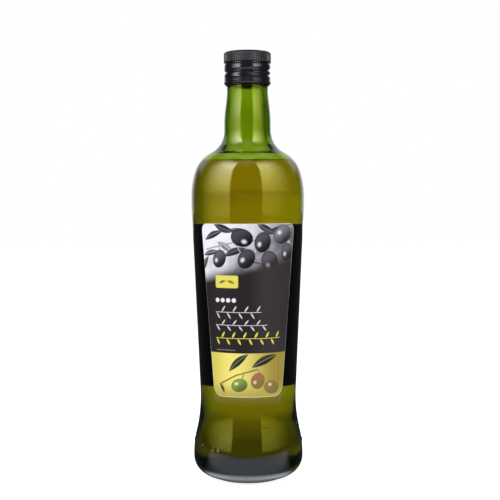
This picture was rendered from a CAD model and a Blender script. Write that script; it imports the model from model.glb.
import math

import bpy
import numpy as np
from mathutils import Matrix


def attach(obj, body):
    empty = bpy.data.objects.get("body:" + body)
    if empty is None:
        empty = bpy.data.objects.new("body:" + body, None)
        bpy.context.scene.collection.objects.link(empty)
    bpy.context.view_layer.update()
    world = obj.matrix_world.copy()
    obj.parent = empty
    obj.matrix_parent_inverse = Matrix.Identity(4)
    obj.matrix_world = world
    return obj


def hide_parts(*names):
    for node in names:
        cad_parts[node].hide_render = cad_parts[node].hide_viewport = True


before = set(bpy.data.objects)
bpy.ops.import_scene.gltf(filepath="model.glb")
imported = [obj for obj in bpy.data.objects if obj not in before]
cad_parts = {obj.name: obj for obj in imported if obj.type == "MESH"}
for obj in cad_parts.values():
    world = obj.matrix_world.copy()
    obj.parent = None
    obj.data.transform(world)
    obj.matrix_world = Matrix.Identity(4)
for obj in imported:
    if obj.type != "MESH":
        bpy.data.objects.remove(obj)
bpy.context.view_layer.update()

# The bottle. Olive-green glass, blown in a two-part mould, thick in the neck and thin in the body.
# The mould leaves a faint seam up each side, a row of small code dots above the heel, and a stippled
# bearing ring under it. It stands loose on its ring, and everything else is fixed to it.
MM = 0.001
BODY_RADIUS = 39.0
BELLY_TOP, BELLY_BOTTOM, BELLY_EDGE_SWELL = 196.2, 190.0, 0.1
SHOULDER_RADIUS, SHOULDER_TIGHT_RADIUS = 56.0, 23.1
SHOULDER_BREAK, SHOULDER_STEEPEST = math.radians(17), math.radians(62.3)
NECK_RADIUS, NECK_TOP_RADIUS = 16.0, 14.15
NECK_FLARE_BOTTOM, NECK_FLARE_TOP = 247.5, 269.0
BEAD_RADIUS, BEAD_BOTTOM, BEAD_TOP = 15.0, 271.2, 275.6
FINISH_RADIUS, MOUTH_HEIGHT = 13.5, 293.3
PANEL_TOP, PANEL_TOP_RADIUS = 179.0, 38.45
WAIST_HEIGHT, WAIST_RADIUS, WAIST_CURVE = 57.5, 33.22, 105.0
PANEL_SLOPE, FLARE_ANGLE = math.radians(2.5), math.radians(13.5)
FOOT_RADIUS, HEEL_TOP, HEEL_SIDE_CURVE, HEEL_TURN = 38.0, 15.5, 13.1, math.radians(78)
BEARING_OUTER, BEARING_INNER, PUNT_HEIGHT = 18.0, 14.8, 4.0
WALL, NECK_WALL, BORE_RADIUS = 2.6, 5.0, 9.6
INNER_HEEL_CURVE, INNER_BASE, INNER_BASE_RISE = 10.0, 7.0, 3.0
FACETS = 200
SEAM_WIDTH, SEAM_PROUD = 0.45, 0.05
CODE_DOT_HEIGHT, CODE_DOT_PROUD = 26.0, 0.6
# Each code dot: degrees round from the front label's middle, and radius.
CODE_DOTS = [(-57, 1.0), (-40, 1.25), (-33, 1.3), (-95, 1.5), (92, 1.5), (140, 1.2), (151, 1.2),
             (173, 1.2), (206, 1.3)]
FOOT_ROWS_TOP, FOOT_ROWS_BOTTOM, FOOT_ROW_GAP = 30.0, 17.0, 0.34
WAVER_OUTSIDE, WAVER_INSIDE = 0.035, 0.12
EVEN_FROM, EVEN_TO, EVEN_FADE = 56, 180, 6
LIP_EDGE, BEAD_TOP_EDGE, BEAD_BOTTOM_EDGE = 0.8, 0.9, 0.7
FINISH_FOOT, BEAD_CHIN = 0.8, 1.2
WET_BELOW = 218.5


def arc(centre, radius, start, end, steps, end_radius=None):
    """Points on a circle in the outline's plane, or on a spiral; the angle 0 points away from the axis."""
    turn = np.linspace(start, end, steps + 1)
    reach = np.linspace(radius, radius if end_radius is None else end_radius, steps + 1)
    return list(zip(centre[0] + reach * np.cos(turn), centre[1] + reach * np.sin(turn)))


def straight(start, end, steps):
    """Points from start to end, without the first."""
    first, way = np.array(start), np.array(end) - np.array(start)
    return [tuple(first + way * i / steps) for i in range(1, steps + 1)]


def dome(radius, edge_height, rise):
    """Points over a shallow dome, from its edge, which is left out, to the axis."""
    shares = np.linspace(1, 0, 10)[1:]
    return [(radius * share, edge_height + rise * math.cos(share * math.pi / 2)) for share in shares]


def shoulder_curve(neck_inset, inset, steps):
    """Neck fillet, shoulder and upper body, top to bottom, moved in by the two insets."""
    wide = (BODY_RADIUS - SHOULDER_RADIUS, BELLY_TOP)
    reach = SHOULDER_RADIUS - SHOULDER_TIGHT_RADIUS
    tight = (wide[0] + reach * math.cos(SHOULDER_BREAK), wide[1] + reach * math.sin(SHOULDER_BREAK))
    steep_radius = tight[0] + SHOULDER_TIGHT_RADIUS * math.cos(SHOULDER_STEEPEST)
    steep_height = tight[1] + SHOULDER_TIGHT_RADIUS * math.sin(SHOULDER_STEEPEST)
    fillet = (steep_radius - NECK_RADIUS) / (1 - math.cos(SHOULDER_STEEPEST))
    centre = (NECK_RADIUS + fillet, steep_height + fillet * math.sin(SHOULDER_STEEPEST))
    points = arc(centre, fillet + neck_inset, math.pi, math.pi + SHOULDER_STEEPEST, steps, fillet + inset)
    points += arc(tight, SHOULDER_TIGHT_RADIUS - inset, SHOULDER_STEEPEST, SHOULDER_BREAK, steps)[1:]
    return points + arc(wide, SHOULDER_RADIUS - inset, SHOULDER_BREAK, 0.0, steps)[1:]


def body_curve(inset, steps):
    """Belly, tapered label panel, waist and foot, top to bottom, moved in by inset."""
    belly = (BODY_RADIUS - inset, BELLY_BOTTOM)
    step_radius = (BODY_RADIUS + PANEL_TOP_RADIUS) / 2 + BELLY_EDGE_SWELL
    step = (step_radius - inset, (BELLY_BOTTOM + PANEL_TOP) / 2)
    panel = (PANEL_TOP_RADIUS - inset, PANEL_TOP)
    points = straight((BODY_RADIUS - inset, BELLY_TOP), belly, 3)
    points += straight(belly, step, 4) + straight(step, panel, 4)
    waist = arc((WAIST_RADIUS + WAIST_CURVE, WAIST_HEIGHT), WAIST_CURVE + inset,
                math.pi - PANEL_SLOPE, math.pi + FLARE_ANGLE, 2 * steps)
    points += straight(panel, waist[0], 2 * steps) + waist[1:]
    flare_radius = WAIST_RADIUS + WAIST_CURVE * (1 - math.cos(FLARE_ANGLE))
    flare_height = WAIST_HEIGHT - WAIST_CURVE * math.sin(FLARE_ANGLE)
    foot = (FOOT_RADIUS - flare_radius) / (1 - math.cos(FLARE_ANGLE))
    centre = (FOOT_RADIUS - foot, flare_height - foot * math.sin(FLARE_ANGLE))
    return points + arc(centre, foot - inset, FLARE_ANGLE, 0.0, steps)[1:]


def heel_curve(steps):
    """Round heel, from the foot's side down to the bearing ring."""
    points = straight((FOOT_RADIUS, FOOT_ROWS_BOTTOM), (FOOT_RADIUS, HEEL_TOP), 2)
    points += arc((FOOT_RADIUS - HEEL_SIDE_CURVE, HEEL_TOP), HEEL_SIDE_CURVE, 0.0, -HEEL_TURN, steps)[1:]
    turned_radius, turned_height = points[-1]
    under = (turned_radius - BEARING_OUTER) / math.cos(HEEL_TURN)
    for i in range(1, steps + 1):
        angle = HEEL_TURN + (math.pi / 2 - HEEL_TURN) * i / steps
        share = (math.sin(angle) - math.sin(HEEL_TURN)) / (1 - math.sin(HEEL_TURN))
        radius = turned_radius - under * (math.cos(HEEL_TURN) - math.cos(angle))
        points.append((radius, turned_height * (1 - share)))
    return points


def inner_wall(gap, steps):
    """Inside of the glass from the neck fillet down to the base centre, drawn in by gap."""
    inset = WALL + gap
    points = shoulder_curve(NECK_WALL + gap, inset, steps) + body_curve(inset, steps)
    side, curve, floor = FOOT_RADIUS - inset, INNER_HEEL_CURVE - gap, INNER_BASE + gap
    points += arc((side - curve, floor + curve), curve, 0.0, -math.pi / 2, steps)
    return points + dome(side - curve, floor, INNER_BASE_RISE)


def piece_from(name, places, faces, sharp=None):
    """An object from places and faces; with an angle, it is smooth but for edges sharper than that."""
    mesh = bpy.data.meshes.new(name)
    mesh.from_pydata(places, [], faces)
    if sharp:
        mesh.shade_smooth()
        mesh.set_sharp_from_angle(angle=math.radians(sharp))
    piece = bpy.data.objects.new(name, mesh)
    bpy.context.scene.collection.objects.link(piece)
    return piece


def ring_faces(rings, around, joined=False):
    """Faces between rings of points; if joined, the last ring meets the first."""
    faces = []
    for i in range(rings if joined else rings - 1):
        following = (i + 1) % rings
        for j in range(around):
            k = (j + 1) % around
            faces.append((i * around + j, following * around + j, following * around + k, i * around + k))
    return faces


def turned(name, outline, angles, move=None):
    """A closed skin turned about Z from an outline in mm whose ends lie on the axis; move(radius, angle,
    height) gives each point's own radius."""
    rings = np.array(outline[1:-1])
    turn, radius = np.meshgrid(angles, rings[:, 0])
    height = np.repeat(rings[:, 1:], len(angles), axis=1)
    if move:
        radius = move(radius, turn, height)
    places = np.stack([radius * np.cos(turn), radius * np.sin(turn), height], axis=-1).reshape(-1, 3)
    first, last = len(places), len(places) + 1
    places = np.vstack([places, [[0, 0, outline[0][1]], [0, 0, outline[-1][1]]]]) * MM
    around = len(angles)
    faces = ring_faces(len(rings), around)
    end = (len(rings) - 1) * around
    for j in range(around):
        k = (j + 1) % around
        faces.append((first, j, k))
        faces.append((last, end + k, end + j))
    return piece_from(name, places.tolist(), faces, 40)


def finish_of(name, **numbers):
    """A material whose Principled shader takes these plain numbers on its own sockets."""
    made = bpy.data.materials.new(name)
    made.use_nodes = True
    shader = made.node_tree.nodes["Principled BSDF"]
    for socket, value in numbers.items():
        shader.inputs[socket.replace("_", " ")].default_value = value
    return made, made.node_tree, shader


def add_node(tree, kind, inputs=(), **settings):
    """A node of that kind; each input's value is a number, a colour or another node's output."""
    node = tree.nodes.new("ShaderNode" + kind)
    for key, value in settings.items():
        setattr(node, key, value)
    for key, value in dict(inputs).items():
        if isinstance(value, bpy.types.NodeSocket):
            tree.links.new(value, node.inputs[key])
        else:
            node.inputs[key].default_value = value
    return node


def parts_of(tree, place):
    """The three numbers of a place."""
    return add_node(tree, "SeparateXYZ", {"Vector": place}).outputs


def on_piece(tree):
    """The place on the piece itself, in metres."""
    return add_node(tree, "TexCoord").outputs["Object"]


def sums(group, operation, *values):
    """One step of a pattern's arithmetic."""
    return add_node(group, "Math", dict(enumerate(values)), operation=operation).outputs[0]


def plus(group, first, second):
    """Two numbers added."""
    return sums(group, "ADD", first, second)


def minus(group, first, second):
    """The second number taken from the first."""
    return sums(group, "SUBTRACT", first, second)


def times(group, first, *others):
    """Two or more numbers multiplied."""
    for other in others:
        first = sums(group, "MULTIPLY", first, other)
    return first


def ramp(group, value, low, high, ease="SMOOTHSTEP"):
    """Rises from 0 to 1 between low and high, or falls if low is the larger."""
    inputs = {"Value": value, "From Min": low, "From Max": high}
    return add_node(group, "MapRange", inputs, interpolation_type=ease).outputs[0]


def between(tree, share, low, high):
    """The number that lies at a share of the way from low to high."""
    return add_node(tree, "MapRange", {"Value": share, "To Min": low, "To Max": high}).outputs[0]


def cloudiness(tree, place, scale, detail):
    """A soft random pattern, from 0 to 1."""
    return add_node(tree, "TexNoise", {"Vector": place, "Scale": scale, "Detail": detail}).outputs["Fac"]


def tone_between(tree, share, low, high):
    """A colour between two by a share."""
    tone = add_node(tree, "ValToRGB", {"Fac": share})
    tone.color_ramp.elements[0].color = low + (1.0,)
    tone.color_ramp.elements[1].color = high + (1.0,)
    return tone.outputs["Color"]


def rough_up(tree, shader, height, strength, distance):
    """Fine relief from a pattern's height."""
    bump = add_node(tree, "Bump", {"Height": height, "Strength": strength, "Distance": distance})
    tree.links.new(bump.outputs["Normal"], shader.inputs["Normal"])


def surface_of(tree, share, usual, other):
    """Gives the material two surfaces, mixed by a share."""
    either = add_node(tree, "MixShader", {0: share, 1: usual, 2: other})
    tree.links.new(either.outputs[0], tree.nodes["Material Output"].inputs["Surface"])


def soak(tree, density, colour):
    """Colour that builds up with the depth of the glass or the oil."""
    depth = add_node(tree, "VolumeAbsorption", {"Density": density, "Color": colour + (1.0,)})
    tree.links.new(depth.outputs["Volume"], tree.nodes["Material Output"].inputs["Volume"])


def unmirrored_where_wet(piece, tree, shader, is_wet):
    """Glass and oil bend light alike, so where they touch, light goes through and nothing mirrors."""
    wetted = piece.data.attributes.new("wetted", "FLOAT", "POINT")
    for index, vertex in enumerate(piece.data.vertices):
        wetted.data[index].value = float(is_wet(index, vertex.co))
    share = add_node(tree, "Attribute", attribute_name="wetted")
    through = add_node(tree, "BsdfRefraction", {"IOR": shader.inputs["IOR"].default_value, "Roughness": 0.0})
    surface_of(tree, share.outputs["Fac"], shader.outputs[0], through.outputs[0])


def glass_angles():
    """Angles of the bottle's facets, closer together at the code dots and at the mould's seams."""
    angles = set(np.round(np.linspace(0, 360, FACETS, endpoint=False), 3))
    for degrees, _ in CODE_DOTS:
        angles |= set(np.round((degrees - 90 + np.linspace(-2.4, 2.4, 13)) % 360, 3))
    for seam in (0, 180):
        angles |= set(np.round((seam + np.array([-0.8, -0.4, -0.2, 0.0, 0.2, 0.4, 0.8])) % 360, 3))
    return np.radians(sorted(angles))


def blown_shape(radius, turn, height):
    """The even outline as blown: a slow waver in the neck, shoulder and foot, the seams and the code dots."""
    outer = np.zeros_like(radius)
    outer[-OUTER_RINGS:] = 1.0
    above, below = height - EVEN_TO, EVEN_FROM - height
    bare = np.clip(above / EVEN_FADE, 0, 1) + np.clip(below / EVEN_FADE, 0, 1)
    waver = np.sin(2 * turn + 0.045 * height) * np.sin(0.21 * height + 3 * turn)
    inner = (1 - outer) * (radius > BORE_RADIUS + 0.2)
    radius = radius + bare * waver * (WAVER_OUTSIDE * outer + WAVER_INSIDE * inner)
    above_heel = np.clip((height - 4) / 6, 0, 1) * (height < BEAD_BOTTOM)
    for seam in (0, math.pi):
        off = np.abs((turn - seam + math.pi) % (2 * math.pi) - math.pi) * radius
        radius = radius + outer * above_heel * SEAM_PROUD * np.exp(-(off / SEAM_WIDTH) ** 2)
    for degrees, dot in CODE_DOTS:
        off = (turn - math.radians(degrees - 90) + math.pi) % (2 * math.pi) - math.pi
        apart = np.hypot(off * radius, height - CODE_DOT_HEIGHT) / dot
        radius = radius + outer * CODE_DOT_PROUD * np.clip(1 - apart ** 2, 0, 1) ** 0.7
    return radius


inside = list(reversed(inner_wall(0.0, 16)))
inside += straight(inside[-1], (NECK_RADIUS - NECK_WALL, NECK_FLARE_BOTTOM), 3)
inside += straight(inside[-1], (BORE_RADIUS, BEAD_BOTTOM), 10)
inside += straight(inside[-1], (BORE_RADIUS, MOUTH_HEIGHT - LIP_EDGE), 6)
inside += arc((BORE_RADIUS + LIP_EDGE, MOUTH_HEIGHT - LIP_EDGE), LIP_EDGE, math.pi, math.pi / 2, 4)[1:]
outside = arc((FINISH_RADIUS - LIP_EDGE, MOUTH_HEIGHT - LIP_EDGE), LIP_EDGE, math.pi / 2, 0.0, 4)
outside += straight(outside[-1], (FINISH_RADIUS, BEAD_TOP + FINISH_FOOT), 6)
bead_top = (BEAD_RADIUS - BEAD_TOP_EDGE, BEAD_TOP - BEAD_TOP_EDGE)
outside += arc(bead_top, BEAD_TOP_EDGE, math.pi / 2, 0.0, 5)
bead_bottom = (BEAD_RADIUS - BEAD_BOTTOM_EDGE, BEAD_BOTTOM + BEAD_CHIN)
outside += straight(outside[-1], (BEAD_RADIUS, bead_bottom[1]), 3)
outside += arc(bead_bottom, BEAD_BOTTOM_EDGE, 0.0, -math.pi / 2, 4)[1:]
for t in np.linspace(0, 1, 21):
    ease = t * t * (3 - 2 * t)
    height = NECK_FLARE_TOP + (NECK_FLARE_BOTTOM - NECK_FLARE_TOP) * t
    outside.append((NECK_TOP_RADIUS + (NECK_RADIUS - NECK_TOP_RADIUS) * ease, height))
fillet_and_shoulder = shoulder_curve(0.0, 0.0, 22)
outside += straight(outside[-1], fillet_and_shoulder[0], 4)
outside += fillet_and_shoulder[1:]
foot_and_panel = body_curve(0.0, 14)
low = [point for point in foot_and_panel if point[1] < FOOT_ROWS_TOP]
outside += [point for point in foot_and_panel if point[1] >= FOOT_ROWS_TOP]
# Close rings where the code dots are.
low_heights = [point[1] for point in low][::-1]
low_radii = [point[0] for point in low][::-1]
for height in np.arange(FOOT_ROWS_TOP - 0.4, FOOT_ROWS_BOTTOM, -FOOT_ROW_GAP):
    outside.append((float(np.interp(height, low_heights, low_radii)), float(height)))
outside += heel_curve(12)
outside += straight(outside[-1], (BEARING_INNER, 0.0), 3)
outside += dome(BEARING_INNER, 0.0, PUNT_HEIGHT)
OUTER_RINGS = len(outside) - 1
bottle = turned("glass_bottle", inside + outside, glass_angles(), blown_shape)

green, tree, shader = finish_of("olive green glass", Base_Color=(1.0, 1.0, 1.0, 1.0), Roughness=0.0,
                                IOR=1.52, Transmission_Weight=1.0)
# Per metre this takes 215 of the red, 154 of the green and 760 of the blue.
soak(tree, 760.0, (0.717, 0.797, 0.0))
inner_count = (len(inside) - 1) * len(glass_angles())
unmirrored_where_wet(bottle, tree, shader,
                     lambda index, place: index < inner_count and place.z < WET_BELOW * MM)
where = on_piece(tree)
grain = add_node(tree, "TexVoronoi", {"Vector": where, "Scale": 900.0}, feature="F1")
skin = cloudiness(tree, where, 55.0, 2.0)
level = parts_of(tree, where)["Z"]
stipple = times(tree, grain.outputs["Distance"], ramp(tree, level, 0.0022, 0.0008, "LINEAR"))
rough_up(tree, shader, plus(tree, times(tree, skin, 0.06), stipple), 1.0, 0.0006)
# The heel, where the glass is thickest, lets hardly any light through.
low_down = ramp(tree, level, 0.008, 0.0195, "LINEAR")
heel_tone = tone_between(tree, low_down, (0.004, 0.005, 0.007), (1.0, 1.0, 1.0))
tree.links.new(heel_tone, shader.inputs["Base Color"])
bottle.data.materials.append(green)
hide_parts("bottle")
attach(bottle, "root")

# The oil. Clear yellow-green olive oil that fills the glass up to the shoulder, with its edge drawn up
# a little where it wets the wall. It is filled in at the mouth, and reaches just into the glass here.
OIL_LEVEL = 218.4
OIL_REACH = 0.2
WETTED_RISE, WETTED_WIDTH = 1.4, 1.2
RIM_GAP, RIM_WIDTH, ALL_WALL_BELOW = 0.3, 5.0, 200.0


def touches_glass(index, place):
    """Whether a place on the oil's skin lies against the glass, and not in the oil's free top."""
    beside_rim = place.xy.length > 0.8 * rim_radius * MM
    return place.z < (rim_height - RIM_GAP) * MM and beside_rim or place.z < ALL_WALL_BELOW * MM


oil_wall = inner_wall(-OIL_REACH, 16)
wall_heights = [point[1] for point in oil_wall][::-1]
wall_radii = [point[0] for point in oil_wall][::-1]
rim_height = OIL_LEVEL + WETTED_RISE
rim_radius = float(np.interp(rim_height, wall_heights, wall_radii))
outline = [(0.0, OIL_LEVEL)]
radii = list(np.linspace(4, rim_radius - RIM_WIDTH - 1, 6))
radii += list(np.linspace(rim_radius - RIM_WIDTH, rim_radius, 14))
for radius in radii:
    outline.append((float(radius), OIL_LEVEL + WETTED_RISE * math.exp((radius - rim_radius) / WETTED_WIDTH)))
outline += [point for point in oil_wall if point[1] < rim_height - 0.2]
oil = turned("olive_oil", outline, np.linspace(0, 2 * math.pi, 144, endpoint=False))

gold, tree, shader = finish_of("olive oil", Base_Color=(1.0, 1.0, 1.0, 1.0), Roughness=0.0,
                               IOR=1.47, Transmission_Weight=1.0)
# Per metre this takes 6 of the red, 14.6 of the green and 60 of the blue.
soak(tree, 60.0, (0.9, 0.757, 0.0))
unmirrored_where_wet(oil, tree, shader, touches_glass)
oil.data.materials.append(gold)
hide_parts("oil")
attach(oil, "root")

# The screw cap. Thin black lacquered aluminium, drawn, knurled round its crown, and rolled on the
# bottle so that its skirt follows the glass thread.
CAP_TOP, CAP_BOTTOM, CAP_RADIUS = 295.0, 277.2, 15.9
CAP_INNER_RADIUS, CAP_TOP_THICKNESS = 13.95, 1.4
CROWN_RADIUS, CROWN_BOTTOM, CROWN_TOP, CROWN_EDGE = 16.25, 287.9, 293.5, 1.5
KNURLS, KNURL_DEPTH = 72, 0.5
THREAD_PITCH, THREAD_DEPTH, THREAD_HEIGHT = 3.5, 1.0, 279.15
THREAD_FIRST_TURN, THREAD_LAST_TURN = -0.35, 1.2
CAP_FACETS = KNURLS * 8


def rolled_shape(radius, turn, height):
    """Knurls round the crown, and the thread groove that climbs the skirt to the right."""
    outer = np.zeros_like(radius)
    outer[:CAP_OUTER_RINGS] = 1.0
    along = np.clip((height - CROWN_BOTTOM) / 0.5, 0, 1) * np.clip((CROWN_TOP + 0.5 - height) / 0.9, 0, 1)
    rib = 1 - (0.5 - 0.5 * np.cos(KNURLS * turn)) ** 3
    deepest = np.zeros_like(radius)
    for lap in (-1, 0, 1):
        turns = turn / (2 * math.pi) + lap
        across = np.abs(height - THREAD_HEIGHT - THREAD_PITCH * turns) / (THREAD_PITCH / 2)
        fade = np.clip(np.minimum(6 * (turns - THREAD_FIRST_TURN), 6 * (THREAD_LAST_TURN - turns)), 0, 1)
        deepest = np.maximum(deepest, fade * 0.5 * (1 + np.cos(math.pi * np.minimum(across, 1))))
    return radius - outer * (along * KNURL_DEPTH * (1 - rib) + THREAD_DEPTH * deepest)


outline = [(0.0, CAP_TOP), (6.0, CAP_TOP), (12.0, CAP_TOP)]
outline += arc((CROWN_RADIUS - CROWN_EDGE, CAP_TOP - CROWN_EDGE), CROWN_EDGE, math.pi / 2, 0.0, 8)
outline += straight(outline[-1], (CROWN_RADIUS, CROWN_BOTTOM + 0.4), 12)
outline += arc((CROWN_RADIUS - 0.5, CROWN_BOTTOM + 0.1), 0.5, 0.3, -1.3, 5)[1:]
# The groove under the crown.
outline += [(15.45, 287.25), (15.38, 287.0), (15.42, 286.75), (15.58, 286.45), (15.75, 286.2),
            (15.87, 285.95)]
outline += straight((CAP_RADIUS, 285.7), (CAP_RADIUS, CAP_BOTTOM + 0.4), 34)
outline += arc((CAP_RADIUS - 0.3, CAP_BOTTOM + 0.3), 0.3, 0.0, -math.pi / 2, 4)[1:]
CAP_OUTER_RINGS = len(outline) - 1
outline += [(CAP_INNER_RADIUS, CAP_BOTTOM), (CAP_INNER_RADIUS, CAP_TOP - CAP_TOP_THICKNESS)]
outline += [(6.0, CAP_TOP - CAP_TOP_THICKNESS), (0.0, CAP_TOP - CAP_TOP_THICKNESS)]
cap = turned("screw_cap", outline, np.linspace(0, 2 * math.pi, CAP_FACETS, endpoint=False), rolled_shape)

lacquer, tree, shader = finish_of("black lacquered aluminium", Roughness=0.2, IOR=1.65)
where = on_piece(tree)
orange_peel = cloudiness(tree, where, 900.0, 3.0)
tone = tone_between(tree, orange_peel, (0.004, 0.004, 0.006), (0.010, 0.009, 0.013))
tree.links.new(tone, shader.inputs["Base Color"])
# The crown is a little duller than the skirt.
worn = times(tree, ramp(tree, parts_of(tree, where)["Z"], 0.2876, 0.2882, "LINEAR"), 0.04)
dullness = plus(tree, between(tree, orange_peel, 0.14, 0.22), worn)
tree.links.new(dullness, shader.inputs["Roughness"])
rough_up(tree, shader, orange_peel, 0.25, 0.0001)
cap.data.materials.append(lacquer)
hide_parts("cap")
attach(cap, "root")

# The tamper band. The strip below the cap's perforation, of the same metal, rolled in under the glass
# bead in two ridges; short bridges between the cuts hold it to the cap until the first opening.
BAND_BOTTOM, BAND_TOP, BAND_INNER_RADIUS = 272.6, 277.1, 15.3
BAND_RADIUS, BAND_DROOP = 15.72, 0.08
# Each ridge: height, half its width, and how far it stands out.
RIDGES = [(276.1, 0.75, 0.3), (274.0, 1.1, 0.55)]
BRIDGES, BRIDGE_HALF_WIDTH, BRIDGE_OVERLAP = 10, math.radians(4.0), 0.02


def ridge(height, middle, half, proud):
    """How far a round ridge stands out at a height."""
    return proud * (0.5 + 0.5 * math.cos(math.pi * min(1.0, abs(height - middle) / half)))


outline = [(BAND_INNER_RADIUS, BAND_TOP), (15.62, BAND_TOP)]
for height in np.linspace(BAND_TOP - 0.25, BAND_BOTTOM + 0.3, 26):
    radius = BAND_RADIUS + sum(ridge(height, *sizes) for sizes in RIDGES)
    outline.append((radius, float(height)))
outline += [(15.6, BAND_BOTTOM + 0.1), (15.45, BAND_BOTTOM), (BAND_INNER_RADIUS, BAND_BOTTOM + 0.1)]
angles = np.linspace(0, 2 * math.pi, 240, endpoint=False)
places = []
for i, (radius, height) in enumerate(outline):
    for angle in angles:
        nearest = abs((angle * BRIDGES / (2 * math.pi) + 0.5) % 1 - 0.5) * 2 * math.pi / BRIDGES
        up = height
        if i < 2 and nearest < BRIDGE_HALF_WIDTH:
            up += CAP_BOTTOM + BRIDGE_OVERLAP - BAND_TOP
        if i > len(outline) - 4:
            up += BAND_DROOP * math.sin(7 * angle)
        places.append((radius * math.cos(angle) * MM, radius * math.sin(angle) * MM, up * MM))
faces = ring_faces(len(outline), len(angles), joined=True)
band = piece_from("tamper_ring", places, faces, 50)
band.data.materials.append(lacquer)
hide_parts("tamper_band")
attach(band, "root")

# The front label. Coated paper, cut with round corners to the panel's taper and glued on, printed in
# greys with a branch of olives, a charcoal field with leaf ornaments, and a yellow foot with a sprig.
LABEL_BOTTOM, LABEL_TOP = 61.6, 177.9
LABEL_HALF_TOP, LABEL_HALF_BOTTOM = math.radians(54.0), math.radians(43.0)
LABEL_CORNER_TOP, LABEL_CORNER_BOTTOM = 5.0, 6.5
PAPER_IN, PAPER_OUT = -0.03, 0.1
FADE_TOP, FADE_BOTTOM, FADE_LEAN, YELLOW_TOP, BORDER = 92.0, 82.0, 0.22, 29.8, 0.3


def panel_radius(height):
    """Radius of the tapered panel at a height."""
    low_height = WAIST_HEIGHT + WAIST_CURVE * math.sin(PANEL_SLOPE)
    low_radius = WAIST_RADIUS + WAIST_CURVE * (1 - math.cos(PANEL_SLOPE))
    return low_radius + (PANEL_TOP_RADIUS - low_radius) * (height - low_height) / (PANEL_TOP - low_height)


def corner_inset(from_edge, corner):
    """How far a round corner pulls in the side at a distance from the top or bottom edge."""
    return corner - math.sqrt(corner ** 2 - max(0.0, corner - from_edge) ** 2)


def label_half_width(height):
    """Half the label's width along the glass at a height."""
    share = (height - LABEL_BOTTOM) / (LABEL_TOP - LABEL_BOTTOM)
    half = (LABEL_HALF_BOTTOM + (LABEL_HALF_TOP - LABEL_HALF_BOTTOM) * share) * panel_radius(height)
    half -= corner_inset(height - LABEL_BOTTOM, LABEL_CORNER_BOTTOM)
    return half - corner_inset(LABEL_TOP - height, LABEL_CORNER_TOP)


def lay_flat(mesh, name, spots):
    """A flat map of the mesh, from a place for each of its points."""
    flat = mesh.uv_layers.new(name=name)
    for loop in mesh.loops:
        flat.data[loop.index].uv = spots[loop.vertex_index]


def paper(name, facing):
    """A label's sheet round the panel, with its width and height in centimetres as its map, face and back."""
    near = [0.0, 0.15, 0.4, 0.8, 1.3, 2.0, 3.0, 4.3, 6.0]
    heights = [LABEL_BOTTOM + n for n in near] + list(np.linspace(LABEL_BOTTOM + 8, LABEL_TOP - 8, 40))
    heights += [LABEL_TOP - n for n in reversed(near)]
    columns = 96
    places, spots, faces = [], [], []
    for lift in (PAPER_OUT, PAPER_IN):
        for height in heights:
            radius = panel_radius(height)
            half = label_half_width(height)
            for i in range(columns + 1):
                across = half * (2 * i / columns - 1)
                angle = facing + across / radius
                reach = radius + lift
                places.append((reach * math.cos(angle) * MM, reach * math.sin(angle) * MM, height * MM))
                spots.append((across / 10, (height - LABEL_BOTTOM) / 10))
    wide, tall = columns + 1, len(heights)
    back = wide * tall
    for j in range(tall - 1):
        for i in range(columns):
            a, b, c, d = j * wide + i, j * wide + i + 1, (j + 1) * wide + i + 1, (j + 1) * wide + i
            faces += [(a, b, c, d), (back + a, back + d, back + c, back + b)]
        for i in (0, columns):
            a, d = j * wide + i, (j + 1) * wide + i
            faces.append((a, d, back + d, back + a) if i == 0 else (a, back + a, back + d, d))
    for i in range(columns):
        top = (tall - 1) * wide + i
        faces += [(i, back + i, back + i + 1, i + 1), (top, top + 1, back + top + 1, back + top)]
    piece = piece_from(name, places, faces, 40)
    lay_flat(piece.data, "sheet", spots)
    for face in piece.data.polygons:
        face.material_index = 1 if min(face.vertices) >= back else 0
    return piece


def ink(red, green, blue):
    """A printed colour, given as on a screen from 0 to 255."""
    screen = (red, green, blue)
    return tuple(((c / 255 + 0.055) / 1.055) ** 2.4 if c > 10 else c / 3294 for c in screen) + (1.0,)


def motif(name, extra):
    """A print motif's nodes: the colour below it and the place on the sheet come in, its ink goes out."""
    group = bpy.data.node_groups.new(name, "ShaderNodeTree")
    group.interface.new_socket("Below", in_out="INPUT", socket_type="NodeSocketColor")
    group.interface.new_socket("At", in_out="INPUT", socket_type="NodeSocketVector")
    for socket, kind in extra.items():
        group.interface.new_socket(socket, in_out="INPUT", socket_type="NodeSocket" + kind)
    group.interface.new_socket("Inked", in_out="OUTPUT", socket_type="NodeSocketColor")
    return group, group.nodes.new("NodeGroupInput").outputs


def vectors(group, operation, first, second=None, result="Vector"):
    """One sum with places."""
    inputs = {0: first} if second is None else {0: first, 1: second}
    return add_node(group, "VectorMath", inputs, operation=operation).outputs[result]


def laid(group, share, below, above):
    """One colour over another by a share."""
    return add_node(group, "Mix", {0: share, 6: below, 7: above}, data_type="RGBA").outputs[2]


def own_place(group, off, turn, half):
    """A place off a shape's middle, turned to lie along it, with its half length and half width as 1."""
    back_turn = times(group, turn, -1.0)
    turned_off = add_node(group, "VectorRotate", {"Vector": off, "Angle": back_turn}, rotation_type="Z_AXIS")
    return parts_of(group, vectors(group, "DIVIDE", turned_off.outputs[0], half))


def put_out(group, colour):
    """Hand the motif's colour on, which ends the motif."""
    out = group.nodes.new("NodeGroupOutput")
    group.links.new(colour, out.inputs["Inked"])
    return group


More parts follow.
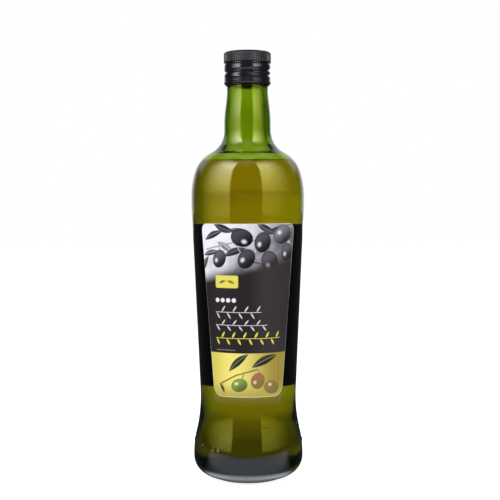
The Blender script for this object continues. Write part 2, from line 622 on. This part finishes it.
PLACING = {"Middle": "Vector", "Turn": "Float", "Half": "Vector"}
group, taken = motif("printed olive", PLACING | {"Skin": "Color", "Shade": "Color", "Shine": "Color"})
off = vectors(group, "SUBTRACT", taken["At"], taken["Middle"])
own = own_place(group, off, taken["Turn"], taken["Half"])
round_off = plus(group, sums(group, "POWER", own["X"], 2.0), sums(group, "POWER", own["Y"], 2.0))
round_off = sums(group, "SQRT", round_off)
inside_it = ramp(group, round_off, 1.04, 0.94)
towards_light = vectors(group, "DOT_PRODUCT", vectors(group, "NORMALIZE", off), (-0.55, 0.83, 0.0), "Value")
lit = times(group, towards_light, round_off)
body = laid(group, ramp(group, lit, 0.65, -0.75), taken["Skin"], taken["Shade"])
body = laid(group, ramp(group, round_off, 0.78, 1.05), body, taken["Shade"])
spot = add_node(group, "CombineXYZ", {"X": plus(group, own["X"], 0.28), "Y": minus(group, own["Y"], 0.34)})
from_spot = vectors(group, "LENGTH", spot.outputs[0], result="Value")
body = laid(group, ramp(group, from_spot, 0.36, 0.05), body, taken["Shine"])
olive_motif = put_out(group, laid(group, inside_it, taken["Below"], body))

group, taken = motif("printed leaf", PLACING | {"Face": "Color", "Far Face": "Color", "Rib": "Color"})
off = vectors(group, "SUBTRACT", taken["At"], taken["Middle"])
own = own_place(group, off, taken["Turn"], taken["Half"])
swell = minus(group, 1.0, sums(group, "POWER", sums(group, "ABSOLUTE", own["X"]), 1.8))
bent = plus(group, own["Y"], times(group, sums(group, "POWER", own["X"], 2.0), 0.35))
side = sums(group, "ABSOLUTE", bent)
inside_it = ramp(group, minus(group, swell, side), 0.0, 0.12)
face = laid(group, ramp(group, bent, -0.1, 0.12), taken["Far Face"], taken["Face"])
face = laid(group, ramp(group, side, 0.13, 0.04), face, taken["Rib"])
leaf_motif = put_out(group, laid(group, inside_it, taken["Below"], face))

group, taken = motif("printed twig", {"Start": "Vector", "End": "Vector", "Half Width": "Float",
                                      "Ink": "Color"})
run = vectors(group, "SUBTRACT", taken["End"], taken["Start"])
off = vectors(group, "SUBTRACT", taken["At"], taken["Start"])
length = vectors(group, "DOT_PRODUCT", run, run, "Value")
along = sums(group, "DIVIDE", vectors(group, "DOT_PRODUCT", off, run, "Value"), length)
along = ramp(group, along, 0.0, 1.0, "LINEAR")
scaled = add_node(group, "VectorMath", {0: run, "Scale": along}, operation="SCALE").outputs[0]
apart = vectors(group, "DISTANCE", off, scaled, "Value")
share = ramp(group, sums(group, "DIVIDE", apart, taken["Half Width"]), 1.25, 0.75)
twig_motif = put_out(group, laid(group, share, taken["Below"], taken["Ink"]))

group, taken = motif("printed patch", {"Middle": "Vector", "Half": "Vector", "Corner": "Float",
                                       "Ink": "Color"})
off = vectors(group, "ABSOLUTE", vectors(group, "SUBTRACT", taken["At"], taken["Middle"]))
over = vectors(group, "SUBTRACT", off, taken["Half"])
corner = add_node(group, "CombineXYZ", {"X": taken["Corner"], "Y": taken["Corner"]}).outputs[0]
over = vectors(group, "MAXIMUM", vectors(group, "ADD", over, corner), (0.0, 0.0, 0.0))
outside_by = minus(group, vectors(group, "LENGTH", over, result="Value"), taken["Corner"])
share = ramp(group, outside_by, 0.12, -0.12)
patch_motif = put_out(group, laid(group, share, taken["Below"], taken["Ink"]))

group, taken = motif("printed garland", {"Start": "Vector", "Spacing": "Float", "Count": "Float",
                                         "Leaf": "Vector", "Lean": "Float", "Ink": "Color"})
off = parts_of(group, vectors(group, "SUBTRACT", taken["At"], taken["Start"]))
number = sums(group, "DIVIDE", off["X"], taken["Spacing"])
whole = sums(group, "FLOOR", number)
side = minus(group, times(group, sums(group, "FLOORED_MODULO", whole, 2.0), 2.0), 1.0)
from_leaf = times(group, minus(group, minus(group, number, whole), 0.5), taken["Spacing"])
lifted = times(group, off["Y"], side)
tip = parts_of(group, taken["Leaf"])
rise = times(group, tip["X"], sums(group, "SINE", taken["Lean"]))
spot = add_node(group, "CombineXYZ", {"X": from_leaf, "Y": minus(group, lifted, rise)}).outputs[0]
own = own_place(group, spot, taken["Lean"], taken["Leaf"])
swell = minus(group, 1.0, sums(group, "POWER", own["X"], 2.0))
leaf_share = ramp(group, minus(group, swell, sums(group, "ABSOLUTE", own["Y"])), 0.0, 0.25)
stem_share = ramp(group, sums(group, "ABSOLUTE", off["Y"]), 0.3, 0.12)
share = sums(group, "MAXIMUM", leaf_share, stem_share)
within = times(group, sums(group, "GREATER_THAN", number, 0.0),
               sums(group, "LESS_THAN", number, taken["Count"]))
share = times(group, share, within)
garland_motif = put_out(group, laid(group, share, taken["Below"], taken["Ink"]))


def printed(tree, group, below, at, **inputs):
    """One motif printed over what is below it."""
    node = tree.nodes.new("ShaderNodeGroup")
    node.node_tree = group
    tree.links.new(at, node.inputs["At"])
    for key, value in inputs.items():
        node.inputs[key.replace("_", " ")].default_value = value
    if isinstance(below, bpy.types.NodeSocket):
        tree.links.new(below, node.inputs["Below"])
    else:
        node.inputs["Below"].default_value = below
    return node.outputs["Inked"]


def lying(across, up, turn, length, width):
    """How a leaf or an olive lies: its middle, turn in degrees, half length and half width."""
    return {"Middle": (across, up, 0), "Turn": math.radians(turn), "Half": (length, width, 1)}


def patched(tree, below, at, middle, half, corner, colour):
    """A plain field with round corners, printed over what is below it."""
    return printed(tree, patch_motif, below, at, Middle=middle + (0,), Half=half + (0,), Corner=corner,
                   Ink=colour)


def garlanded(tree, below, at, start, spacing, count, leaf, lean, colour):
    """A stem with leaves on both sides; leaf is one leaf's half length and width, lean is in degrees."""
    return printed(tree, garland_motif, below, at, Start=start + (0,), Spacing=spacing, Count=count,
                   Leaf=leaf + (1,), Lean=math.radians(lean), Ink=colour)


def sheet_place(tree):
    """The place on the sheet in millimetres from the middle of its bottom edge, and its two parts."""
    spot = add_node(tree, "UVMap", uv_map="sheet")
    at = add_node(tree, "VectorMath", {0: spot.outputs[0], "Scale": 10.0}, operation="SCALE").outputs[0]
    parts = parts_of(tree, at)
    return at, parts["X"], parts["Y"]


def border_share(tree, across, up):
    """1 on the unprinted edge of the paper and 0 inside it, with straight sides and round corners."""
    tall = LABEL_TOP - LABEL_BOTTOM
    bottom_half = LABEL_HALF_BOTTOM * panel_radius(LABEL_BOTTOM)
    top_half = LABEL_HALF_TOP * panel_radius(LABEL_TOP)
    half = between(tree, ramp(tree, up, 0.0, tall, "LINEAR"), bottom_half, top_half)
    from_side = minus(tree, half, sums(tree, "ABSOLUTE", across))
    shares = []
    for from_end, corner in ((up, LABEL_CORNER_BOTTOM), (minus(tree, tall, up), LABEL_CORNER_TOP)):
        x = sums(tree, "MAXIMUM", minus(tree, corner, from_side), 0.0)
        y = sums(tree, "MAXIMUM", minus(tree, corner, from_end), 0.0)
        reach = sums(tree, "SQRT", plus(tree, times(tree, x, x), times(tree, y, y)))
        shares.append(ramp(tree, reach, corner - BORDER - 0.1, corner - BORDER + 0.1))
    return sums(tree, "MAXIMUM", *shares)


def finish_print(tree, shader, across, up, colour):
    """The print inside the paper's unprinted edge, over the faint grain of coated paper."""
    colour = laid(tree, border_share(tree, across, up), colour, CREAM)
    tree.links.new(colour, shader.inputs["Base Color"])
    fibre = cloudiness(tree, on_piece(tree), 1400.0, 4.0)
    tree.links.new(between(tree, fibre, 0.36, 0.5), shader.inputs["Roughness"])
    rough_up(tree, shader, fibre, 0.12, 0.0001)


CHARCOAL = ink(37, 31, 34)
WARM_CHARCOAL = ink(50, 45, 46)
CREAM = ink(206, 203, 196)
OFF_WHITE = ink(216, 212, 212)
BRIGHT_YELLOW = ink(208, 197, 84)
# Leaves of the grey branch: middle, turn in degrees, half length and width, face, far face and rib as greys.
GREY_LEAVES = [
    (-25, 109, 22, 8.5, 2.3, 66, 40, 120), (-15, 101, -32, 8.0, 2.2, 150, 112, 196),
    (-27, 97, 12, 7.5, 2.0, 96, 60, 150), (-4, 111, -18, 8.5, 2.2, 80, 50, 132),
    (8, 104, 60, 8.0, 2.0, 168, 130, 205), (20, 112, 14, 9.0, 2.3, 58, 36, 110),
    (30, 103, -50, 8.0, 2.1, 172, 130, 210), (-33, 89, 60, 7.5, 2.1, 84, 60, 120),
    (4, 92, -12, 8.5, 2.0, 130, 92, 170), (-17, 113, 160, 8.5, 2.6, 62, 40, 104),
    (12, 113, 152, 8.0, 2.4, 70, 46, 116), (-9, 98, 20, 8.5, 2.5, 60, 38, 100),
]
# Twigs: start, end and half width.
GREY_TWIGS = [((34, 115), (12, 106), 0.7), ((12, 106), (-9, 104), 0.6), ((-9, 104), (-31, 99), 0.45),
              ((12, 106), (17, 97), 0.4), ((-9, 104), (-4, 96), 0.4), ((-20, 101), (-18, 93), 0.35)]
# Olives of the grey branch: middle, turn, half length and width, skin and shade.
GREY_OLIVES = [
    (-20, 93, 70, 6.2, 5.0, 88, 28), (-1, 93, 60, 6.9, 5.5, 72, 20), (15, 91, 105, 7.4, 6.0, 84, 26),
    (29, 97, 75, 6.4, 5.2, 96, 34), (-4, 107, 165, 7.6, 6.0, 66, 18), (10, 104, 75, 7.0, 5.6, 74, 22),
    (25, 109, 20, 7.6, 6.2, 122, 46),
]
PATCH_MIDDLE, PATCH_HALF, PATCH_CORNER = (-14.7, 77.7), (8.2, 4.2), 1.2
DOT_HEIGHT, DOT_RADIUS = 65.3, 1.5
# Garlands: start, spacing, number of leaves, a leaf's half length and width, its lean, and the ink.
GARLANDS = [((-23.0, 57.3), 4.0, 8.0, (2.7, 0.62), 58, (196, 192, 194)),
            ((-23.0, 48.6), 4.0, 9.0, (2.5, 0.6), 52, (196, 192, 194)),
            ((-23.0, 39.8), 3.8, 12.0, (2.6, 0.8), 62, (200, 192, 78))]
FOOT_TWIGS = [((-19, 9), (-8, 15), 0.5), ((-8, 15), (6, 19), 0.45), ((-3, 16.5), (-4, 12), 0.3),
              ((6, 19), (9, 15), 0.3)]
# Leaves of the yellow foot: middle, turn, half length and width, and face.
FOOT_LEAVES = [(-7, 24, 42, 9.5, 2.5, (56, 58, 46)), (11, 25, 24, 10.5, 2.9, (50, 52, 44)),
               (-18, 6, -62, 4.2, 1.1, (60, 64, 42))]
# Olives of the yellow foot: middle, turn, half length and width, then skin, shade and shine.
FOOT_OLIVES = [
    (-6, 8.2, 15, 5.6, 4.5, (126, 146, 66), (84, 100, 40), (206, 214, 150)),
    (6.5, 11.2, 70, 5.5, 4.7, (150, 98, 68), (116, 106, 52), (214, 190, 156)),
    (16.3, 6.6, -10, 5.6, 4.6, (146, 106, 66), (114, 108, 52), (214, 194, 156)),
]

front = paper("front_label_paper", -math.pi / 2)
printing, tree, shader = finish_of("printed label paper", IOR=1.45, Specular_IOR_Level=0.12)
at, across, up = sheet_place(tree)
slope = plus(tree, times(tree, across, -0.02), times(tree, up, 0.02))
cloud = cloudiness(tree, at, 0.09, 2.0)
colour = laid(tree, ramp(tree, plus(tree, slope, cloud), 1.9, 3.1), ink(96, 92, 100), ink(218, 217, 224))
for *place, face, far, rib in GREY_LEAVES:
    colour = printed(tree, leaf_motif, colour, at, **lying(*place), Face=ink(face, face - 4, face + 3),
                     Far_Face=ink(far, far - 3, far + 2), Rib=ink(rib, rib - 3, rib + 4))
for start, end, width in GREY_TWIGS:
    colour = printed(tree, twig_motif, colour, at, Start=start + (0,), End=end + (0,), Half_Width=width,
                     Ink=ink(150, 146, 152))
for *place, skin, shade in GREY_OLIVES:
    colour = printed(tree, olive_motif, colour, at, **lying(*place), Skin=ink(skin, skin - 4, skin + 4),
                     Shade=ink(shade, shade - 3, shade + 2), Shine=ink(206, 206, 214))
leaning = minus(tree, up, times(tree, across, FADE_LEAN))
charcoal = laid(tree, ramp(tree, across, -2.0, 12.0), CHARCOAL, WARM_CHARCOAL)
colour = laid(tree, ramp(tree, leaning, FADE_TOP, FADE_BOTTOM), colour, charcoal)
colour = patched(tree, colour, at, PATCH_MIDDLE, PATCH_HALF, PATCH_CORNER, BRIGHT_YELLOW)
for u, turn in ((-17.8, 20), (-11.6, -20)):
    colour = printed(tree, leaf_motif, colour, at, **lying(u, PATCH_MIDDLE[1], turn, 3.0, 0.9),
                     Face=ink(112, 104, 52), Far_Face=ink(96, 90, 46), Rib=ink(150, 140, 70))
for u in (-21.5, -17.5, -13.5, -9.5):
    colour = patched(tree, colour, at, (u, DOT_HEIGHT), (DOT_RADIUS, DOT_RADIUS), DOT_RADIUS, OFF_WHITE)
for *row, shade in GARLANDS:
    colour = garlanded(tree, colour, at, *row, ink(*shade))
colour = patched(tree, colour, at, (-15.5, 31.8), (7.0, 0.3), 0.3, ink(120, 108, 84))
yellow = laid(tree, ramp(tree, across, -10.0, 20.0), ink(219, 207, 110), ink(148, 131, 54))
yellow = laid(tree, ramp(tree, across, -12.0, -25.0), yellow, ink(196, 184, 80))
yellow = laid(tree, ramp(tree, up, 12.0, 0.0), yellow, ink(168, 152, 70))
yellow = patched(tree, yellow, at, (21.6, 15.0), (0.3, 9.0), 0.3, ink(124, 112, 58))
colour = laid(tree, ramp(tree, up, YELLOW_TOP + 0.1, YELLOW_TOP - 0.1), colour, yellow)
for start, end, width in FOOT_TWIGS:
    colour = printed(tree, twig_motif, colour, at, Start=start + (0,), End=end + (0,), Half_Width=width,
                     Ink=ink(120, 108, 60))
for *place, face in FOOT_LEAVES:
    colour = printed(tree, leaf_motif, colour, at, **lying(*place), Face=ink(*face),
                     Far_Face=ink(38, 40, 34), Rib=ink(120, 122, 84))
for *place, skin, shade, shine in FOOT_OLIVES:
    colour = printed(tree, olive_motif, colour, at, **lying(*place), Skin=ink(*skin), Shade=ink(*shade),
                     Shine=ink(*shine))
finish_print(tree, shader, across, up, colour)
front.data.materials.append(printing)
glued, glued_tree, glued_shader = finish_of("glued label back", Roughness=0.7, IOR=1.4)
fibre = cloudiness(glued_tree, on_piece(glued_tree), 300.0, 3.0)
tone = tone_between(glued_tree, fibre, (0.010, 0.010, 0.010), (0.022, 0.021, 0.020))
glued_tree.links.new(tone, glued_shader.inputs["Base Color"])
front.data.materials.append(glued)
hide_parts("front_label")
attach(front, "root")

# The back label. The same paper and shape, printed plainly: charcoal with ruled panels, a leaf
# ornament and a yellow foot. It is glued opposite the front label.
back_label = paper("back_label_paper", math.pi / 2)
printing, tree, shader = finish_of("printed back paper", IOR=1.45, Specular_IOR_Level=0.12)
at, across, up = sheet_place(tree)
colour = laid(tree, ramp(tree, up, 92.0, 92.3), CHARCOAL, ink(214, 213, 216))
colour = garlanded(tree, colour, at, (-24.0, 104.0), 4.8, 10.0, (4.2, 1.3), 56, ink(96, 92, 98))
for row in range(4):
    colour = patched(tree, colour, at, (0, 84.0 - 5.0 * row), (23.0 - row, 0.45), 0.45, ink(150, 146, 148))
colour = patched(tree, colour, at, (0, 50.0), (20.0, 12.0), 2.5, OFF_WHITE)
for row in range(5):
    colour = patched(tree, colour, at, (0, 57.6 - 3.8 * row), (17.0, 0.35), 0.35, ink(120, 116, 118))
yellow = laid(tree, ramp(tree, across, -20.0, 20.0), ink(240, 230, 128), ink(196, 182, 84))
colour = laid(tree, ramp(tree, up, YELLOW_TOP + 0.1, YELLOW_TOP - 0.1), colour, yellow)
colour = garlanded(tree, colour, at, (-17.5, 15.0), 5.0, 7.0, (4.6, 1.5), 54, ink(96, 104, 44))
finish_print(tree, shader, across, up, colour)
back_label.data.materials.append(printing)
back_label.data.materials.append(glued)
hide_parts("back_label")
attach(back_label, "root")

# The studio. A white floor, a white surround that the glass shows through itself, and two tall soft
# panels in front at the left and right, which draw the long reflections on the neck and the body.
PANEL_DISTANCE, PANEL_MIDDLE, PANEL_LOWEST, PANEL_RISE = 1.2, 0.2, -12, 92
# Each panel: name, where it starts and ends round the bottle in degrees, strength, and share of blue.
PANELS = [("left_panel", -112.0, -34.0, 10.5, 0.7), ("right_panel", 27.0, 106.0, 8.5, 0.42)]
FLOOR_LIGHT, RING_LIGHT, ROOM_LIGHT = 1.05, 2.8, 0.04

floor = piece_from("floor", [(-4, -4, 0), (4, -4, 0), (4, 4, 0), (-4, 4, 0)], [(0, 1, 2, 3)])
floor_paint, tree, shader = finish_of("floor paint", Base_Color=(0.8, 0.8, 0.8, 1.0), Roughness=0.6,
                                      Emission_Color=(1.0, 1.0, 1.0, 1.0), Emission_Strength=0.9)
# In the glass's reflection the floor is bright only in front of the bottle, and the room beyond it is
# dark. Through the glass it is dark close by, where the bottle shades it, white farther off, and
# dimmer to the right.
path = add_node(tree, "LightPath")
place = on_piece(tree)
off = vectors(tree, "LENGTH", place, result="Value")
parts = parts_of(tree, place)
ahead = ramp(tree, parts["Y"], -0.012, -0.05)
bright = times(tree, ramp(tree, off, 0.4, 0.12), FLOOR_LIGHT, ahead)
ring = times(tree, ramp(tree, off, 0.042, 0.036), ramp(tree, off, 0.0285, 0.0345),
             ramp(tree, parts["Y"], -0.003, -0.033))
mirrored = plus(tree, plus(tree, bright, times(tree, ring, RING_LIGHT)), ROOM_LIGHT)
mirrored = add_node(tree, "CombineXYZ", {"X": times(tree, mirrored, 0.94), "Y": mirrored,
                                         "Z": times(tree, mirrored, 1.1)}).outputs[0]
shaded = add_node(tree, "ValToRGB", {"Fac": off})
for spot, grey in ((0.04, 0.1), (0.08, 0.29), (0.15, 0.66), (0.35, 0.95), (0.8, 1.0)):
    element = shaded.color_ramp.elements.new(spot)
    element.color = (grey * (0.93 + 0.07 * grey), grey * (1.14 - 0.14 * grey), grey * (0.5 + 0.5 * grey), 1.0)
shaded.color_ramp.elements[0].color = (0.04, 0.04, 0.03, 1.0)
aside = sums(tree, "DIVIDE", parts["X"], plus(tree, off, 0.001))
dimmed = minus(tree, 1.0, times(tree, ramp(tree, aside, 0.4, 0.75), 0.5))
seen = laid(tree, dimmed, (0.0, 0.0, 0.0, 1.0), shaded.outputs["Color"])
glow = laid(tree, path.outputs["Is Transmission Ray"], mirrored, seen)
near = add_node(tree, "Emission", {"Color": glow, "Strength": 1.0})
surface_of(tree, path.outputs["Is Glossy Ray"], shader.outputs[0], near.outputs[0])
floor.data.materials.append(floor_paint)


def in_place_of(tree, share, usual, other):
    """One number in place of another by a share."""
    return add_node(tree, "Mix", {0: share, 2: usual, 3: other}, data_type="FLOAT").outputs[0]


for name, start, end, strength, blue in PANELS:
    columns, rows = 24, 36
    places, spots, faces = [], [], []
    for j in range(rows + 1):
        lift = math.radians(PANEL_LOWEST + PANEL_RISE * j / rows)
        for i in range(columns + 1):
            turn = math.radians(start + (end - start) * i / columns)
            places.append((PANEL_DISTANCE * math.sin(turn) * math.cos(lift),
                           -PANEL_DISTANCE * math.cos(turn) * math.cos(lift),
                           PANEL_MIDDLE + PANEL_DISTANCE * math.sin(lift)))
            spots.append((i / columns if start > 0 else 1 - i / columns, j / rows))
    for j in range(rows):
        for i in range(columns):
            a = j * (columns + 1) + i
            faces.append((a, a + 1, a + columns + 2, a + columns + 1))
    panel = piece_from(name, places, faces)
    lay_flat(panel.data, "panel", spots)
    glow = bpy.data.materials.new(name + " glow")
    glow.use_nodes = True
    tree = glow.node_tree
    tree.nodes.remove(tree.nodes["Principled BSDF"])
    flat_place = add_node(tree, "UVMap", uv_map="panel").outputs[0]
    parts = parts_of(tree, flat_place)
    crisp = ramp(tree, parts["X"], 0.0, 0.04)
    soft = ramp(tree, parts["X"], 1.0, 0.12)
    climb = plus(tree, times(tree, ramp(tree, parts["Y"], 0.12, 0.62, "LINEAR"), 0.78), 0.22)
    low = times(tree, ramp(tree, parts["Y"], 0.0, 0.07), climb)
    high = ramp(tree, parts["Y"], 0.9, 0.68)
    amount = times(tree, crisp, soft, low, high)
    path = add_node(tree, "LightPath")
    warm = laid(tree, low, (1.0, 0.96, 0.02, 1.0), (1.0, 0.97, blue, 1.0))
    tint = laid(tree, path.outputs["Is Singular Ray"], (0.5, 0.5, 0.52, 1.0), warm)
    # In the cap's satin lacquer only the panel's inner edge at the cap's own height shows.
    narrow = times(tree, crisp, ramp(tree, parts["X"], 0.7, 0.15), ramp(tree, parts["Y"], 0.0, 0.14),
                   ramp(tree, parts["Y"], 0.6, 0.24), 0.95)
    satin = minus(tree, path.outputs["Is Glossy Ray"], path.outputs["Is Singular Ray"])
    amount = in_place_of(tree, satin, amount, narrow)
    light = add_node(tree, "Emission", {"Color": tint, "Strength": times(tree, amount, strength)})
    tree.links.new(light.outputs[0], tree.nodes["Material Output"].inputs["Surface"])
    panel.data.materials.append(glow)
    panel.visible_camera = False

# The surround is white to the eye. Through the glass it is dimmer to the right and low down, and
# brighter to the left. What mirrors shows a dark room, lit behind the bottle, overhead and between.
BEHIND_LIGHT, TOP_LIGHT, PATCH_LIGHT, DARK_ROOM, SOFT_LIGHT = 0.9, 0.45, 0.8, 0.03, 0.15
world = bpy.data.worlds.new("white surround")
world.use_nodes = True
tree = world.node_tree
background = tree.nodes["Background"]
path = add_node(tree, "LightPath").outputs
heading = parts_of(tree, add_node(tree, "TexCoord").outputs["Generated"])
behind = times(tree, ramp(tree, heading["Y"], 0.70, 0.92), BEHIND_LIGHT)
above = times(tree, ramp(tree, heading["Z"], 0.72, 0.95), TOP_LIGHT)
mirrored = plus(tree, sums(tree, "MAXIMUM", behind, above), DARK_ROOM)
raised = times(tree, ramp(tree, heading["Z"], 0.2, 0.35), ramp(tree, heading["Z"], 0.7, 0.5),
               ramp(tree, heading["Y"], 0.35, 0.65), path["Is Singular Ray"], PATCH_LIGHT)
mirrored = sums(tree, "MAXIMUM", mirrored, raised)
right_side = times(tree, ramp(tree, heading["X"], 0.4, 0.75), 0.5)
left_side = times(tree, ramp(tree, heading["X"], -0.4, -0.7), 0.2)
through = plus(tree, minus(tree, 1.0, right_side), left_side)
low_down = times(tree, ramp(tree, heading["Z"], 0.01, -0.02), 0.2)
through = times(tree, through, minus(tree, 1.0, low_down))
strength = in_place_of(tree, path["Is Camera Ray"], SOFT_LIGHT, 1.0)
strength = in_place_of(tree, path["Is Glossy Ray"], strength, mirrored)
strength = in_place_of(tree, path["Is Transmission Ray"], strength, through)
tree.links.new(strength, background.inputs["Strength"])
background.inputs["Color"].default_value = (1.0, 1.0, 1.0, 1.0)
bpy.context.scene.world = world

# The camera, at the photograph's place: 0.72 m in front, level with the belly, looking slightly down.
CAMERA_DISTANCE, CAMERA_HEIGHT = 0.720, 0.1935
LOOKS_ASIDE, LOOKS_DOWN, LEANS = -0.119, 2.763, -0.15
camera = bpy.data.objects.new("camera", bpy.data.cameras.new("camera"))
camera.data.sensor_width = 36.0
camera.data.lens = 74.59
aside = Matrix.Rotation(math.radians(LOOKS_ASIDE), 4, "Z")
down = Matrix.Rotation(math.radians(90 - LOOKS_DOWN), 4, "X")
lean = Matrix.Rotation(math.radians(LEANS), 4, "Z")
camera.matrix_world = Matrix.Translation((0.0, -CAMERA_DISTANCE, CAMERA_HEIGHT)) @ aside @ down @ lean
scene = bpy.context.scene
scene.collection.objects.link(camera)
scene.camera = camera
scene.view_settings.view_transform = "Standard"
scene.cycles.max_bounces = 24
scene.cycles.transmission_bounces = 20
scene.cycles.glossy_bounces = 8
